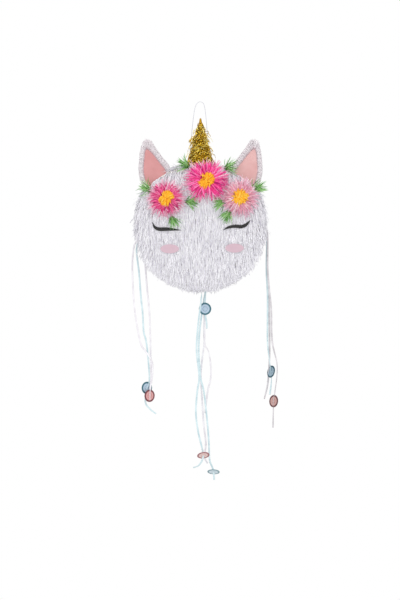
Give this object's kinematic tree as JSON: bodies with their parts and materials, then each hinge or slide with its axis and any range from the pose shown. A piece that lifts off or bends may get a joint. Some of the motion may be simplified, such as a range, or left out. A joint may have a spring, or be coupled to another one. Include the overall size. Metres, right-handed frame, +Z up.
{
  "type": "pinata",
  "caption": "Round card party pinata shaped as a unicorn head, covered with film fringe, with horn, ears, flowers, trap door and pull ribbons with tags.",
  "frame": {"origin": "top of the hanging thread's loop, where a hook takes it, in the drum's middle plane", "axes": "+Z up, +X to the viewer's right and -Y towards the face, so the drum's axis lies along Y"},
  "size_m": [0.4146, 0.139, 1.0732],
  "materials": {
    "card": "white-faced corrugated card",
    "tape": "gummed paper tape",
    "thread": "twisted polyester thread",
    "white_fringe": "cut thin film, soft sheen",
    "pink_card": "pink paper, matt",
    "gold_tinsel": "metallised foil tinsel",
    "pale_pink_film": "cut thin film",
    "deep_pink_film": "cut thin film",
    "yellow_film": "cut thin film",
    "green_film": "cut thin film",
    "black_vinyl": "glossy black card",
    "blush_paper": "pink paper, matt",
    "aqua_ribbon": "curling ribbon",
    "white_ribbon": "curling ribbon",
    "pink_tag": "printed card",
    "blue_tag": "printed card"
  },
  "bodies": {
    "shell": {"front_panel": "card", "back_panel": "card", "rim_wall": "card", "front_edge_tape": "tape", "rear_edge_tape": "tape", "door_hinge_tape": "tape", "flap_hinge_tape": "tape", "hanger_plate": "card", "hanger_knots": "thread", "hanging_thread": "thread", "ribbon_tapes": "tape", "ear_card_left": "card", "ear_card_right": "card", "ear_inner_left": "pink_card", "ear_inner_right": "pink_card", "ear_fringe_left": "white_fringe", "ear_fringe_right": "white_fringe", "horn_cone": "card", "horn_tinsel": "gold_tinsel", "flower_pads": "card", "petals_outer_left": "pale_pink_film", "petals_outer_centre": "pale_pink_film", "petals_outer_right": "pale_pink_film", "petals_inner_left": "deep_pink_film", "petals_inner_centre": "deep_pink_film", "petals_inner_right": "pale_pink_film", "flower_eye_left": "yellow_film", "flower_eye_centre": "yellow_film", "flower_eye_right": "yellow_film", "leaf_tufts": "green_film", "lash_left": "black_vinyl", "lash_right": "black_vinyl", "cheek_left": "blush_paper", "cheek_right": "blush_paper", "front_fringe": "white_fringe", "side_fringe": "white_fringe", "back_fringe": "white_fringe"},
    "trap_door": {"trap_door": "card", "door_fringe": "white_fringe"},
    "fill_flap": {"fill_flap": "card", "flap_fringe": "white_fringe"},
    "pull_ribbon": {"pull_ribbon": "aqua_ribbon", "pull_tag": "pink_tag"},
    "centre_ribbons": {"ribbon_centre_1": "aqua_ribbon", "ribbon_centre_2": "white_ribbon", "ribbon_centre_3": "white_ribbon", "ribbon_centre_4": "aqua_ribbon", "tag_centre_top": "blue_tag", "tag_centre_low": "blue_tag"},
    "left_ribbons": {"ribbon_left_1": "white_ribbon", "ribbon_left_2": "aqua_ribbon", "ribbon_left_3": "white_ribbon", "tag_left_blue": "blue_tag", "tag_left_pink": "pink_tag"},
    "right_ribbons": {"ribbon_right_1": "white_ribbon", "ribbon_right_2": "aqua_ribbon", "ribbon_right_3": "white_ribbon", "tag_right_blue": "blue_tag", "tag_right_pink": "pink_tag"}
  },
  "joints": [
    {"name": "trap_door_hinge", "type": "hinge", "parent": "shell", "child": "trap_door", "pos_m": [-0.06914, 0, -0.5113], "axis": [0, 1, 0], "range_deg": [0, 95]},
    {"name": "fill_flap_hinge", "type": "hinge", "parent": "shell", "child": "fill_flap", "pos_m": [0, 0.045, -0.321], "axis": [1, 0, 0], "range_deg": [0, 95]},
    {"name": "pull_ribbon_swing", "type": "hinge", "parent": "trap_door", "child": "pull_ribbon", "pos_m": [0.004, -0.016, -0.527], "axis": [0, 1, 0], "range_deg": [-95, 0]},
    {"name": "centre_ribbons_swing", "type": "hinge", "parent": "shell", "child": "centre_ribbons", "pos_m": [0.015, 0.006, -0.527], "axis": [0, 1, 0], "range_deg": [-25, 0]},
    {"name": "left_ribbons_swing", "type": "hinge", "parent": "shell", "child": "left_ribbons", "pos_m": [-0.169, 0, -0.392], "axis": [0, 1, 0], "range_deg": [0, 30]},
    {"name": "right_ribbons_swing", "type": "hinge", "parent": "shell", "child": "right_ribbons", "pos_m": [0.172, 0, -0.356], "axis": [0, 1, 0], "range_deg": [-30, 0]}
  ],
  "couplings": [
    {"joint": "pull_ribbon_swing", "follows": "trap_door_hinge", "ratio": -1}
  ]
}
